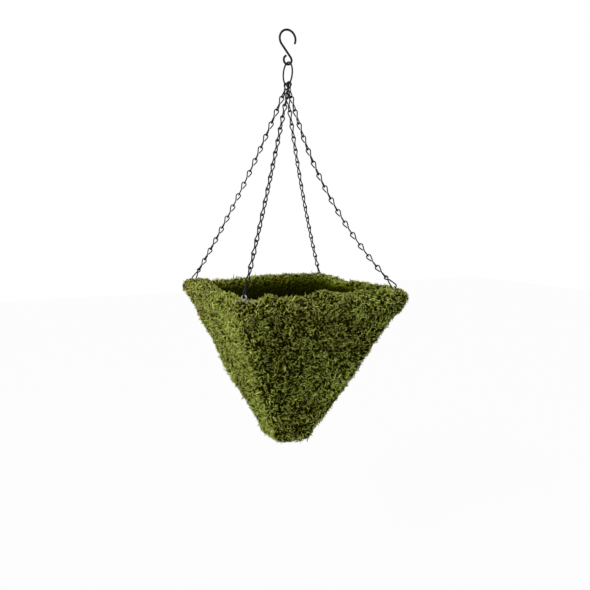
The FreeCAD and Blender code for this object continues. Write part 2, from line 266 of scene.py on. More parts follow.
TUFT_PALER, PATCH_PALER = 0.06, 0.11
FROND_PALER = 0.49  # spread from frond to frond
MEAN_TINT = 0.6
TINT_RANGE = 0.35
TINT_PATCHES = ((70.0 * MM, 0.5, 11), (22.0 * MM, 0.35, 13))  # size, weight, seed
TINT_SPREAD = 0.2  # from frond to frond
AREA_STEPS = 60  # each way over a surface, to measure it
TRIALS = 4  # places drawn for each root that is wanted

# ---- Finishes ----------------------------------------------------------------------------------
CELL_MARGIN = 0.1  # of a frond's square cell on its map, left free on each side
ROW_FILL = 0.9  # of the row that each branch has in the cell
PATCH_STOPS = (0.35, 0.75)  # noise where a wire's finish is all dark and all worn
SMOOTHER, ROUGHER = 0.12, 0.15  # how far a wire's roughness goes to each side
BODY_COLOURS = [  # by a frond's tint, from dry to fresh
    (0.0, (0.2, 0.175, 0.03)),
    (0.3, (0.212, 0.206, 0.016)),
    (0.6, (0.22, 0.256, 0.015)),
    (1.0, (0.33, 0.39, 0.03)),
]
TIP_PALENESS_PAINTED_SHADE_AND_SHEEN = [  # times the body's colour, by how near to a tip: darkest low down, partly painted shade among the fronds, and palest and bluest at the tips, partly a painted sheen
    (0.0, (0.05, 0.05, 0.01)),
    (0.3, (0.045, 0.045, 0.01)),
    (0.6, (0.32, 0.32, 0.14)),
    (0.8, (0.82, 0.82, 0.55)),
    (0.92, (1.4, 1.4, 2.8)),
    (1.0, (2.5, 2.45, 8.5)),
]
FIRST_SHADE_TIP = -0.4  # the tip value that gets the first of the shades; a frond's own are 0 to 1
MAT_DARK_AND_PAINTED_SHADE = -1.0  # gets the first of the shades too, so the mat is near black: its own dark base and partly painted shade between the fronds

# ---- View --------------------------------------------------------------------------------------
AZIMUTH = -25.63  # degrees, from looking along +Y
ELEVATION = 7.33
DISTANCE = 1.1395
AIM_RIGHT = 13.5 * MM  # of the basket's axis
AIM_BELOW_RIM = 13.0 * MM
LENS = 35.75
SENSOR = 36.0

# ---- Floor -------------------------------------------------------------------------------------
FLOOR_BELOW = 0.45  # from the basket's foot down
FLOOR_HALF = 6.0  # of its side
FLOOR_WHITE = 0.97  # the share of plain white in what the camera sees of it


# ---- Frame measures ----------------------------------------------------------------------------
def middle(node):
    """The middle of a node's box."""
    low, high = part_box(node)
    return np.array((low + high) / 2)


RIM_HEIGHT = middle("rim_wire")[2]
RIM_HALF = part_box("rim_wire")[1].x - RIM_WIRE / 2


# ---- Meshes ------------------------------------------------------------------------------------
def mesh_object(name, points, faces, values=None, places=None):
    """A smooth mesh from an array of points and arrays of faces. Each array's faces have as many
    corners as it is wide, values are named numbers, one for each point, and places are the points'
    places on the map named OFBake."""
    mesh = bpy.data.meshes.new(name)
    corners = np.concatenate([part.ravel() for part in faces])
    sizes = np.concatenate([np.full(len(part), part.shape[1]) for part in faces])
    mesh.vertices.add(len(points))
    mesh.vertices.foreach_set("co", np.asarray(points, np.float32).ravel())
    mesh.loops.add(len(corners))
    mesh.loops.foreach_set("vertex_index", corners.astype(np.int32))
    mesh.polygons.add(len(sizes))
    mesh.polygons.foreach_set("loop_start", (np.cumsum(sizes) - sizes).astype(np.int32))
    mesh.polygons.foreach_set("use_smooth", np.ones(len(sizes), bool))
    mesh.update(calc_edges=True)
    for key, numbers in (values or {}).items():
        layer = mesh.attributes.new(key, "FLOAT", "POINT")
        layer.data.foreach_set("value", np.asarray(numbers, np.float32))
    if places is not None:
        layer = mesh.uv_layers.new(name="OFBake")
        layer.uv.foreach_set("vector", places[corners].astype(np.float32).ravel())
    made = bpy.data.objects.new(name, mesh)
    bpy.context.scene.collection.objects.link(made)
    return made


def joined(parts):
    """One array of points and one list of faces from several (points, faces) pairs."""
    points, faces, count = [], [], 0
    for more_points, more_faces in parts:
        points.append(more_points)
        faces += [part + count for part in more_faces]
        count += len(more_points)
    return np.concatenate(points), faces


def dress(made, finish, body, slot, *nodes):
    """Give a piece its finish and its body, and let it stand for the frame's nodes."""
    made.data.materials.append(finish)
    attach(made, body)
    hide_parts(*nodes)


# ---- Outlines ----------------------------------------------------------------------------------
def unit(vector):
    """A vector, or each vector of an array, at length one."""
    return vector / np.linalg.norm(vector, axis=-1, keepdims=True)


def square_side(share, half, bend, height):
    """Points on the front side of a square with round corners; share is -1 to 1, mitre to mitre."""
    straight = half - bend
    way = np.abs(share) * (straight + bend * math.pi / 4)
    turn = np.clip((way - straight) / bend, 0, None)
    x = np.sign(share) * (np.minimum(way, straight) + bend * np.sin(turn))
    y = -(straight + bend * np.cos(turn))
    return np.stack([x, y, np.broadcast_to(height, np.shape(x))], -1)


def turned(points, degrees):
    """The points turned about Z."""
    c, s = math.cos(math.radians(degrees)), math.sin(math.radians(degrees))
    return points @ np.array(((c, s, 0.0), (-s, c, 0.0), (0.0, 0.0, 1.0)))


# ---- Wires -------------------------------------------------------------------------------------
def rounded(path, rounds=2):
    """An open path with its corners cut by Chaikin's rule, its two ends kept."""
    for _ in range(rounds):
        before = path[:-1] * 0.75 + path[1:] * 0.25
        after = path[:-1] * 0.25 + path[1:] * 0.75
        path = np.concatenate([path[:1], np.stack([before, after], 1).reshape(-1, 3)[1:-1], path[-1:]])
    return path


def tube(path, diameter, closed=False, sides=WIRE_SIDES):
    """A round wire along a path. The ends of an open one are domed."""
    if closed:
        ahead = np.roll(path, -1, 0) - np.roll(path, 1, 0)
    else:
        ahead = np.gradient(path, axis=0)
    ahead = unit(ahead)
    side = unit(np.cross(ahead[0], WIRE_ASLANT))
    turns = np.linspace(0, 2 * math.pi, sides, endpoint=False)
    rings = []
    for centre, way in zip(path, ahead):
        side = unit(side - way * side.dot(way))
        other = np.cross(way, side)
        rings.append((centre, way, np.outer(np.cos(turns), side) + np.outer(np.sin(turns), other)))
    points = [centre + around * diameter / 2 for centre, _, around in rings]
    if not closed:
        (first, way_in, around_in), (last, way_out, around_out) = rings[0], rings[-1]
        points.insert(0, first - way_in * diameter * DOME_LENGTH + around_in * diameter * DOME_RADIUS)
        points.append(last + way_out * diameter * DOME_LENGTH + around_out * diameter * DOME_RADIUS)
    count = len(points)
    index = np.arange(count * sides).reshape(count, sides)
    follow = np.roll(index, -1, 0) if closed else index[1:]
    here = index if closed else index[:-1]
    quads = np.stack([here, np.roll(here, -1, 1), np.roll(follow, -1, 1), follow], -1).reshape(-1, 4)
    faces = [quads]
    if not closed:
        faces.append(np.stack([index[0][::-1], index[-1]]))
    return np.concatenate(points), faces


def arc(centre, radius, start, end, across, up, steps):
    """Points on an arc, from one angle in degrees to another."""
    turns = np.radians(np.linspace(start, end, steps))
    return centre + radius * (np.outer(np.cos(turns), across) + np.outer(np.sin(turns), up))


def loop(width, reach, wire):
    """Across and along points of one loop of a link, from its waist round its end and back."""
    radius = (width - wire) / 2
    waist = (wire + WAIST_GAP) / 2
    turns = np.radians(np.linspace(-LOOP_WRAP, 180 + LOOP_WRAP, LOOP_STEPS))
    bend = np.stack([radius * np.cos(turns), reach - radius + radius * np.sin(turns)], 1)
    return np.concatenate([[(waist, WAIST_HALF)], bend, [(-waist, TIP_GAP)]])


def two_loops(waist, along, across, second, wire, loops):
    """One wire bent into two loops that meet at a waist, the second loop in its own plane."""
    upper, lower = [loop(width, reach, wire) for width, reach in loops]
    above = waist + np.outer(upper[::-1, 0], across) - np.outer(upper[::-1, 1], along)
    below = waist + np.outer(lower[:, 0], second) + np.outer(lower[:, 1], along)
    return tube(rounded(np.concatenate([above, below])), wire)


HOOK_SPAN = CORNER_HOOK_LENGTH - CORNER_HOOK_WIRE
RING_SEAT = (RING_WIRE + LINK_WIRE) / 2 + WIRE_GAP
LINK_SEAT = (LINK_WIRE + WIRE_GAP) / 2
HOOK_SEAT = (CORNER_HOOK_WIRE + WIRE_GAP) / 2
EYE_SEAT = (EYE_WIRE + CORNER_HOOK_WIRE) / 2 + WIRE_GAP
HALVINGS = 50  # in the search for the span of a chain's links


def bowed(bow, span):
    """A chain that sets off level and turns by the bow on its way: how far out and down it ends, and
    the length and angle of each step. The span is a link's, between the wire centres of its ends."""
    steps = [span - RING_SEAT - LINK_SEAT] + [span - 2 * LINK_SEAT] * (LINKS - 1)
    steps.append(HOOK_SPAN - HOOK_SEAT - EYE_SEAT)
    angles = [bow * (0.5 - i / (len(steps) - 1)) for i in range(len(steps))]
    out = sum(step * math.cos(angle) for step, angle in zip(steps, angles))
    down = sum(step * math.sin(angle) for step, angle in zip(steps, angles))
    return out, down, steps, angles


def span_for(chord, bow):
    """The span of the links in a bowed chain whose two ends are that far apart."""
    low, high = 0.0, chord
    for _ in range(HALVINGS):
        trial = (low + high) / 2
        if math.hypot(*bowed(bow, trial)[:2]) < chord:
            low = trial
        else:
            high = trial
    return low


def chain_ends(corner):
    """Where a chain hangs on the ring, and the wire of the corner's eye that it pulls on."""
    low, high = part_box(f"corner_eye_{corner}")
    end = np.array((low + high) / 2)
    end[2] = high.z - EYE_WIRE / 2
    return np.array(JOINTS[f"chain_sway_{corner}"]["pos_m"]), end


def chain_course(corner):
    """The span of a chain's links, where they hang in each other, and each one's two directions."""
    start, end = chain_ends(corner)
    chord = end - start
    bow = math.radians(CHAIN_BOWS[corner])
    span = span_for(np.linalg.norm(chord), bow)
    out, down, steps, angles = bowed(bow, span)
    level = unit(chord * (1, 1, 0))
    normal = np.cross(level, UP)
    slope = math.atan2(-chord[2], math.hypot(chord[0], chord[1])) - math.atan2(down, out)
    wire_way = unit(np.cross(RIGHT, start - middle("gather_ring")))
    points, ways = [start], []
    for step, angle in zip(steps, angles):
        ways.append(level * math.cos(slope + angle) - UP * math.sin(slope + angle))
        points.append(points[-1] + ways[-1] * step)
    across = np.cross(normal, ways[0])
    twist = math.atan(-across.dot(wire_way) / normal.dot(wire_way))
    courses = []
    for i, (point, way) in enumerate(zip(points, ways)):
        roll = twist * (1 - i / LINKS)
        courses.append((point, way, np.cross(normal, way) * math.cos(roll) + normal * math.sin(roll)))
    return span, courses


def chain(corner):
    """One chain's links, all one piece, and its corner hook."""
    span, (*courses, (hook_at, hook_way, hook_across)) = chain_course(corner)
    seats = [RING_SEAT] + [LINK_SEAT] * (LINKS - 1)
    links = []
    for (at, way, across), seat in zip(courses, seats):
        waist = at + way * (span / 2 - seat)
        second = np.cross(way, across)
        links.append(two_loops(waist, way, across, second, LINK_WIRE, [(LINK_WIDTH, span / 2)] * 2))
    small = CORNER_HOOK_WAIST - CORNER_HOOK_WIRE / 2
    loops = [(CORNER_HOOK_EYE, small), (CORNER_HOOK_BOW, HOOK_SPAN - small)]
    waist = hook_at + hook_way * (small - HOOK_SEAT)
    hook = two_loops(waist, hook_way, hook_across, -hook_across, CORNER_HOOK_WIRE, loops)
    body = f"chain_{corner}"
    dress(mesh_object(f"links_{corner}", *joined(links)), CHAIN, body, "chain_steel", body)
    name = f"corner_hook_{corner}"
    dress(mesh_object(f"round_{name}", *hook), CHAIN, body, "chain_steel", name)


def hanger():
    """The hanging hook and the ring."""
    centre = UP * (HOOK_WIRE / 2 - HOOK_RADIUS)
    drop = (HOOK_RADIUS + HOOK_EYE_RADIUS) / math.sin(math.radians(HOOK_RETURN))
    bend = arc(centre, HOOK_RADIUS, HOOK_TIP, 180 + HOOK_RETURN, RIGHT, UP, ROUND_STEPS)
    last = HOOK_RETURN - HOOK_EYE_TURN
    eye = arc(centre - UP * drop, HOOK_EYE_RADIUS, HOOK_RETURN, last, RIGHT, UP, ROUND_STEPS // 2)
    wire = tube(np.concatenate([bend, eye]), HOOK_WIRE, sides=HANGER_SIDES)
    dress(mesh_object("round_hook", *wire), CHAIN, "hanger", "hook_steel", "hanging_hook")
    low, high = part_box("gather_ring")
    radius = (high.y - low.y - RING_WIRE) / 2
    turn = arc(middle("gather_ring"), radius, 0, 360, BACK, UP, ROUND_STEPS + 1)[:-1]
    wire = tube(turn, RING_WIRE, closed=True, sides=HANGER_SIDES)
    dress(mesh_object("round_ring", *wire), CHAIN, "ring", "chain_steel", "gather_ring")


def frame_wires():
    """The corner eyes and the rim wire, and the finish of the wires inside the moss."""
    for corner, signs in CORNERS.items():
        node = f"corner_eye_{corner}"
        low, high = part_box(node)
        outward = unit(np.array((*signs, 0.0)))
        radius = (high.z - low.z - EYE_WIRE) / 2
        across = np.cross(outward, UP)
        turn = arc(middle(node), radius, 0, 360, across, UP, ROUND_STEPS // 2 + 1)[:-1]
        wire = tube(turn, EYE_WIRE, closed=True)
        dress(mesh_object(f"round_eye_{corner}", *wire), ZINC, "basket", "galvanised_wire", node)
    around = []
    for turn in SIDES.values():
        share = np.linspace(-1, 1, ROUND_STEPS, endpoint=False)
        around.append(turned(square_side(share, RIM_HALF, RIM_BEND, RIM_HEIGHT), turn))
    wire = tube(np.concatenate(around), RIM_WIRE, closed=True)
    dress(mesh_object("round_rim", *wire), ZINC, "basket", "galvanised_wire", "rim_wire")
    for name, node in frame["nodes"].items():
        if name.startswith(("hoop_", "corner_rib_", "face_rib_")):
            node.data.materials.clear()
            node.data.materials.append(ZINC)


# ---- Noise -------------------------------------------------------------------------------------
NOISE_SHIFT = 100.0  # in features, so that every cell has positive numbers


def hashed(cells, seed):
    """A number from 0 to 1 for each cell of a grid, always the same for the same cell. The large
    factors only mix the bits."""
    mixed = (cells * np.array((73856093, 19349663, 83492791))).sum(-1) + seed * 40503
    mixed = (mixed ^ (mixed >> 13)) * 1274126177
    mixed = (mixed ^ (mixed >> 16)) * 69069
    return ((mixed >> 8) & 0xFFFF) / 0xFFFF


def smooth_noise(points, size, seed):
    """Noise from -1 to 1 whose features have about that size."""
    scaled = points / size + NOISE_SHIFT
    cells = np.floor(scaled).astype(np.int64)
    part = scaled - cells
    part = part * part * (3 - 2 * part)
    total = np.zeros(points.shape[:-1])
    for corner in itertools.product((0, 1), repeat=3):
        weight = np.where(np.array(corner) == 1, part, 1 - part).prod(-1)
        total += weight * hashed(cells + np.array(corner), seed)
    return 2 * total - 1


# ---- Moss surfaces -----------------------------------------------------------------------------
FOOT_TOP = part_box("moss_foot")[1].z
FOOT_DEPTH = FOOT_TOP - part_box("moss_foot")[0].z
FOOT_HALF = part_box("moss_foot")[1].x
FACE_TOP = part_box("moss_face_front")[1].z
FACE_HALF = -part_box("moss_face_front")[0].y


def rising(value, start, length):
    """From 0 at the start to 1 a length further on."""
    return np.clip((value - start) / length, 0, 1)


def rim_offset(side, share, place, half_width):
    """How far along the rim a point of a side is from a place, in half widths."""
    here = list(SIDES).index(side) + (share + 1) / 2
    short_way = (here - place + 2) % 4 - 2
    return short_way / half_width


def bulge(side, share, height):
    """How much further out than its flat form a face is there."""
    total = np.zeros(np.shape(share))
    for place, half_width, depth, half_height, reach in FACE_SWELLS:
        off = rim_offset(side, share, place, half_width)
        below = (height - RIM_HEIGHT + depth * MM) / (half_height * MM)
        total += reach * MM * np.exp(-(off**2) - below**2)
    return total


def swell(side, share):
    """How much the roll's top rises, how much it reaches out and how much its hem rises there."""
    total = np.zeros((3, *np.shape(share)))
    for place, half_width, *amounts in RIM_SWELLS:
        off = rim_offset(side, share, place, half_width)
        total += np.multiply.outer(amounts, np.exp(-(off**2))) * MM
    return total


def face_on(side):
    """A side's face mat, from behind the roll to the foot."""

    def on_face(share, down):
        slope = (FACE_HALF - FOOT_HALF) / (FACE_TOP - FOOT_TOP)
        height = FACE_TOP + FACE_TUCK + (FOOT_TOP - FACE_TOP - FACE_TUCK) * down
        half = FACE_HALF + slope * (height - FACE_TOP) - FACE_SINK + bulge(side, share, height)
        return square_side(share, half, MOSS_CORNER, height)

    return on_face


def profile(round_share):
    """Out and up on the roll's closed profile, a Catmull-Rom curve through its points."""
    knots = np.array(ROLL_PROFILE) * MM
    count = len(knots)
    place = np.asarray(round_share) * count
    first = np.floor(place).astype(int)
    t = (place - first)[..., None]
    a, b, c, d = (knots[(first + i) % count] for i in (-1, 0, 1, 2))
    return 0.5 * (2 * b + (c - a) * t + (2 * a - 5 * b + 4 * c - d) * t**2 + (3 * b - a - 3 * c + d) * t**3)


def roll_on(side):
    """The roll over the rim on one side, from its lip inside, over the top and down outside."""

    def on_roll(share, over):
        out, up = np.moveaxis(profile(over), -1, 0)
        rise, reach, hem = swell(side, share)
        outer = rising(out, *OUTER_PART) * rising(up, *UNTUCKED_PART)
        half = RIM_HALF + out + reach * outer
        bend = np.clip(RIM_BEND + ROLL_BEND_GROWTH * out, LEAST_ROLL_BEND, None)
        height = RIM_HEIGHT + up + rise * rising(up, *TOP_PART) + hem * rising(-up, *HEM_PART)
        return square_side(share, half, bend, height)

    return on_roll


def foot_on(side):
    """A side's quarter of the pad under the foot, from its edge to its middle."""

    def on_foot(share, down):
        turn = np.clip(down, 0, FOOT_END) * math.pi / 2
        height = FOOT_TOP - (FOOT_DEPTH - FACE_SINK) * np.sin(turn)
        widest = FOOT_HALF - FACE_SINK + bulge(side, share, height)
        half = widest * np.cos(turn) ** FOOT_ROUNDNESS
        return square_side(share, half, np.minimum(MOSS_CORNER, half * FOOT_CORNER), height)

    return on_foot


def lumps(points, strength):
    """How far the moss stands out at each point."""
    total = np.zeros(points.shape[:-1])
    for size, height, seed in LUMPS:
        total += height * smooth_noise(points, size, seed)
    return np.maximum(total * strength, LOWEST_LUMP)


def moss_surface(form, share, way, degrees, strength):
    """Points on the lumpy surface, the directions out of it and how much surface each stands for.
    The form gives the plain surface's points on the front side, and the degrees turn them."""

    def at(more_share, more_way):
        return turned(form(share + more_share, way + more_way), degrees)

    level = at(SLOPE_STEP, 0) - at(-SLOPE_STEP, 0)
    down = at(0, SLOPE_STEP) - at(0, -SLOPE_STEP)
    across = np.cross(down, level)
    outward = unit(across)
    here = at(0, 0)
    return here + outward * lumps(here, strength)[..., None], outward, np.linalg.norm(across, axis=-1)


def cleared(points):
    """The points, pushed out of the room that the corners' hooks and eyes need."""
    moved = points.copy()
    for corner in CORNERS:
        start, end = chain_ends(corner)
        way = unit(start - end)
        low = end - way * HOOK_ROOM_START
        along = np.clip((points - low) @ way, 0, HOOK_ROOM_LENGTH)
        off = points - (low + along[:, None] * way)
        distance = np.linalg.norm(off, axis=1)
        inside = distance < HOOK_CLEARANCE
        way_out = off[inside] / np.maximum(distance[inside], 1e-6)[:, None]
        moved[inside] += way_out * (HOOK_CLEARANCE - distance[inside])[:, None]
    return moved


def grid_faces(rows, columns, wrap_rows=False, wrap_columns=False, start=0):
    """The faces between the points of a grid, closed into a ring where it wraps."""
    index = np.arange(rows * columns).reshape(rows, columns) + start
    if wrap_rows:
        index = np.concatenate([index, index[:1]])
    if wrap_columns:
        index = np.concatenate([index, index[:, :1]], 1)
    corners = [index[:-1, :-1], index[1:, :-1], index[1:, 1:], index[:-1, 1:]]
    return np.stack(corners, -1).reshape(-1, 4)


def face_mat(side):
    """A slab: the lumpy outside, a plain inside and the edge between them."""
    on_face, degrees = face_on(side), SIDES[side]
    rows, columns = FACE_GRID
    grid = np.meshgrid(np.linspace(-1, 1, rows), np.linspace(0, 1, columns), indexing="ij")
    share, down = (part.ravel() for part in grid)
    outside, outward, _ = moss_surface(on_face, share, down, degrees, 1.0)
    inside = turned(on_face(share, down), degrees) - outward * MAT_THICKNESS
    count = rows * columns
    index = np.arange(count).reshape(rows, columns)
    border = np.concatenate([index[:, 0], index[-1, 1:], index[-2::-1, -1], index[0, -2:0:-1]])
    follow = np.roll(border, -1)
    edge = np.stack([border, border + count, follow + count, follow], -1)
    faces = [grid_faces(rows, columns)[:, ::-1], grid_faces(rows, columns, start=count), edge]
    return np.concatenate([cleared(outside), inside]), faces


def roll_mat(side):
    """A closed roll between its two mitres."""
    rows, columns = ROLL_GRID
    overs = np.linspace(0, 1, columns, endpoint=False)
    share, over = np.meshgrid(np.linspace(-1, 1, rows), overs, indexing="ij")
    points, _, _ = moss_surface(roll_on(side), share.ravel(), over.ravel(), SIDES[side], ROLL_LUMP)
    index = np.arange(rows * columns).reshape(rows, columns)
    caps = np.stack([index[0], index[-1][::-1]])
    return cleared(points), [grid_faces(rows, columns, wrap_columns=True)[:, ::-1], caps]


def foot_mat():
    """A closed pad, flat on top where it lies under the frame."""
    along, columns = FOOT_GRID
    shares = np.linspace(-1, 1, along, endpoint=False)
    share, down = np.meshgrid(shares, np.linspace(0, FOOT_GRID_END, columns), indexing="ij")
    quarters = []
    for side, degrees in SIDES.items():
        quarters.append(moss_surface(foot_on(side), share.ravel(), down.ravel(), degrees, 1.0)[0])
    rows = len(SIDES) * along
    index = np.arange(rows * columns).reshape(rows, columns)
    caps = np.stack([index[:, 0], index[::-1, -1]])
    return np.concatenate(quarters), [grid_faces(rows, columns, wrap_rows=True)[:, ::-1], caps]


# ---- Fronds ------------------------------------------------------------------------------------
def spindle(line, radii):
    """A thin three-sided solid along a line, pointed at both ends, and its points' places in a cell."""
    ahead = unit(np.gradient(line, axis=0))
    side = unit(np.cross(ahead, FROND_ASLANT))
    other = np.cross(ahead, side)
    rings = len(line) - 2
    points, places = [line[:1]], [(0.0, 0.5)]
    for i, radius in zip(range(1, len(line) - 1), radii):
        for turn in (0, 1, 2):
            angle = math.radians(90 + 120 * turn)
            around = math.cos(angle) * side[i] + math.sin(angle) * other[i]
            points.append((line[i] + radius * around)[None])
            places.append((i / (rings + 1), turn / 2))
    points.append(line[-1:])
    places.append((1.0, 0.5))
    last = 1 + 3 * rings
    faces = []
    for k in range(3):
        follow = (k + 1) % 3
        faces.append((0, 1 + follow, 1 + k))
        faces.append((last, last - 3 + k, last - 3 + follow))
        for ring in range(rings - 1):
            a, b = 1 + 3 * ring + k, 1 + 3 * ring + follow
            faces += [(a, b, b + 3), (a, b + 3, a + 3)]
    return np.concatenate(points), np.array(faces), np.array(places)


def curved(start, yaw, pitch, length, yaw_turn, pitch_turn, count):
    """A line that sets off at a yaw and a pitch and turns evenly on its way."""
    share = np.linspace(0, 1, count)
    yaws, pitches = yaw + yaw_turn * share, pitch + pitch_turn * share
    ways = np.stack([np.cos(yaws) * np.cos(pitches), np.sin(yaws) * np.cos(pitches), np.sin(pitches)], 1)
    steps = (ways[1:] + ways[:-1]) / 2 * length / (count - 1)
    return start + np.concatenate([np.zeros((1, 3)), np.cumsum(steps, 0)])


def frond(branches, stoutness, rng):
    """One frond of unit length along X, Z away from the mat: its points and faces, how near its tips
    each point is, and the points' places in a cell, where each branch has a row of its own."""
    yaw_turn = rng.choice((-1, 1)) * rng.uniform(*STEM_TURN)
    pitch_turn = rng.uniform(*STEM_NOD)
    rise = STEM_RISE - pitch_turn / 3
    stem = curved(np.zeros(3), -yaw_turn / 2, rise, 1.0, yaw_turn, pitch_turn, STEM_POINTS)
    thick = stoutness * rng.uniform(*THICKNESSES)
    parts = [spindle(stem, STEM_RADII * thick)]
    nearness = [np.linspace(0.0, 1.0, len(parts[0][0]))]
    for i in range(branches):
        place = BRANCH_START + BRANCH_STRETCH * (i + rng.uniform(*BRANCH_SHIFT)) / branches
        at = place * (len(stem) - 1)
        low = int(at)
        root = stem[low] + (stem[low + 1] - stem[low]) * (at - low)
        side = 1 if i % 2 else -1
        yaw = -yaw_turn / 2 + yaw_turn * place + side * rng.uniform(*BRANCH_YAW)
        pitch = rise + pitch_turn * place + rng.uniform(*BRANCH_PITCH)
        length = (BRANCH_LENGTH - BRANCH_TAPER * place) * rng.uniform(*BRANCH_LENGTHS)
        curl, nod = -side * rng.uniform(*BRANCH_CURL), rng.uniform(*BRANCH_NOD)
        line = curved(root, yaw, pitch, length, curl, nod, BRANCH_POINTS)
        parts.append(spindle(line, BRANCH_RADII * thick))
        nearness.append(place + (1 - place) * np.linspace(0, 1, len(parts[-1][0])))
    points, faces = joined([(more, [part]) for more, part, _ in parts])
    rows = [(place * (1, ROW_FILL) + (0, row)) / (1, len(parts)) for row, (_, _, place) in enumerate(parts)]
    return points, np.concatenate(faces), np.concatenate(nearness), np.concatenate(rows)


def frond_kinds(branches, stoutness, rng):
    """The shapes of one family, each of what a frond is made of stacked in one array."""
    shapes = [frond(branches, stoutness, rng) for _ in range(FROND_KINDS)]
    return [np.stack(part) for part in zip(*shapes)]


def scatter(form, degrees, count, span, strength, rng):
    """Roots spread evenly over a surface, the directions out of it and each root's way along it."""
    share = rng.uniform(-1, 1, count * TRIALS)
    way = rng.uniform(*span, count * TRIALS)
    points, outward, area = moss_surface(form, share, way, degrees, strength)
    kept = np.flatnonzero(rng.uniform(0, 1, len(area)) < area / area.max())[:count]
    return points[kept], outward[kept], way[kept]


def area_of(form, span):
    """The area of the part of a form that the fronds grow on."""
    shares, ways = np.linspace(-1, 1, AREA_STEPS), np.linspace(*span, AREA_STEPS)
    share, way = np.meshgrid(shares, ways, indexing="ij")
    points = form(share, way)
    level, down = points[1:, :-1] - points[:-1, :-1], points[:-1, 1:] - points[:-1, :-1]
    return np.linalg.norm(np.cross(level, down), axis=-1).sum()


def tint_at(points):
    """How fresh the moss is at each point: 0 is brown and dry, 1 is yellow-green."""
    patches = sum(weight * smooth_noise(points, size, seed) for size, weight, seed in TINT_PATCHES)
    return MEAN_TINT + TINT_RANGE * patches


def lie_of(roots, outward, mean_lift, lift_spread, rng):
    """The way each frond lies and the way that is up for it. Neighbours lie nearly alike."""
    lift = np.radians(rng.normal(mean_lift, lift_spread, len(roots)))
    swirl = np.stack([smooth_noise(roots, SWIRL_SIZE, seed) for seed in SWIRL_SEEDS], 1)
    level = unit(np.cross(outward, swirl + rng.normal(size=roots.shape) * SWIRL_DISORDER))
    along = unit(level * np.cos(lift)[:, None] + outward * np.sin(lift)[:, None])
    return along, unit(outward - along * (outward * along).sum(1)[:, None])


def fronds_on(patch, strength, family, denser, rng):
    """One family of fronds on one patch: points, faces, tints, tip paleness with painted shade, places in
    their cells.
    """
    form, degrees, span, shade = patch
    facts = FAMILIES[family]
    wanted = int(area_of(form, span) * facts["density"] * denser)
    roots, outward, way = scatter(form, degrees, wanted, span, strength, rng)
    count = len(roots)
    along, up = lie_of(roots, outward, *facts["lift"], rng)
    tuft, patchy = smooth_noise(roots, TUFT_SIZE, TUFT_SEED), smooth_noise(roots, PATCH_SIZE, PATCH_SEED)
    lengths = rng.uniform(*facts["lengths"], count) * MM * (1 + TUFT_LONGER * tuft)
    if not facts["branches"]:
        lengths[rng.uniform(0, 1, count) < STRAY_SHARE] *= STRAY_LONGER
    depths = rng.uniform(*facts["depths"], count)
    roots = roots - outward * depths[:, None] * MM - along * lengths[:, None] * ROOT_SHARE
    which = rng.integers(0, FROND_KINDS, count)
    shapes, faces, nearness, places = (part[which] for part in KINDS[family])
    basis = np.stack([along, np.cross(up, along), up], 1) * lengths[:, None, None]
    points = roots[:, None] + shapes @ basis
    size = points.shape[1]
    faces = faces + (np.arange(count) * size)[:, None, None]
    # Height above the root makes a frond paler, so low down among the fronds it is darker: partly its own
    # dark root, partly painted shade.
    height = ((points - roots[:, None]) * outward[:, None]).sum(-1) / FULL_HEIGHT
    paler = facts["gain"] + TUFT_PALER * tuft + PATCH_PALER * patchy + rng.normal(0, FROND_PALER, count)
    tip_paleness_and_painted_shade = np.clip(TIP_PART * nearness + HEIGHT_PART * height + paler[:, None], 0, 1)
    tip_paleness_and_painted_shade *= np.interp(way, *shade)[:, None]
    tint = np.clip(tint_at(roots) + rng.normal(0, TINT_SPREAD, count), 0, 1)
    points, faces, places = cleared(points.reshape(-1, 3)), faces.reshape(-1, 3), places.reshape(-1, 2)
    return points, faces, np.repeat(tint, size), tip_paleness_and_painted_shade.ravel(), places


def in_cells(places, size):
    """Places on the whole map, which has a square cell for each frond of that many points."""
    number = np.arange(len(places)) // size
    across = math.ceil(math.sqrt(len(places) / size))
    corners = np.stack([number % across, number // across], 1)
    return (corners + CELL_MARGIN + (1 - 2 * CELL_MARGIN) * places) / across


def moss_piece(name, node, mat, patches, strength, denser, rng):
    """One piece of moss: its mat, and a piece for each family of the fronds on its patches. A patch
    is a form, the degrees that turn it, the span of it that has fronds and how bright they are, which
    is painted shade where it darkens them."""
    points, faces = mat
    # The mat is near black: its own dark base, and partly painted shade between the fronds.
    values = {"frond_tint": tint_at(points), "frond_paleness_and_painted_shade": np.full(len(points), MAT_DARK_AND_PAINTED_SHADE)}
    dress(mesh_object(name, points, faces, values), MOSS, "basket", "sheet_moss", node)
    for family in FAMILIES:
        grown = [fronds_on(patch, strength, family, denser, rng) for patch in patches]
        points, faces = joined([(more, [part]) for more, part, *_ in grown])
        tints, tip_paleness_and_painted_shade, places = (np.concatenate([part[i] for part in grown]) for i in (2, 3, 4))
        values = {"frond_tint": tints, "frond_paleness_and_painted_shade": tip_paleness_and_painted_shade}
        places = in_cells(places, KINDS[family][0].shape[1])
        made = mesh_object(f"{name}_{family}s", points, faces, values, places)
        dress(made, MOSS, "basket", "sheet_moss", node)


# ---- Finishes ----------------------------------------------------------------------------------
def finish_of(name, colour, roughness, metallic=0.0, specular=0.5):
    """A new material, its nodes, links and main shader."""
    made = bpy.data.materials.new(name)
    made.use_nodes = True
    nodes, links = made.node_tree.nodes, made.node_tree.links
    shader = nodes["Principled BSDF"]
    shader.inputs["Base Color"].default_value = (*colour, 1)
    shader.inputs["Roughness"].default_value = roughness
    shader.inputs["Metallic"].default_value = metallic
    shader.inputs["Specular IOR Level"].default_value = specular
    return made, nodes, links, shader


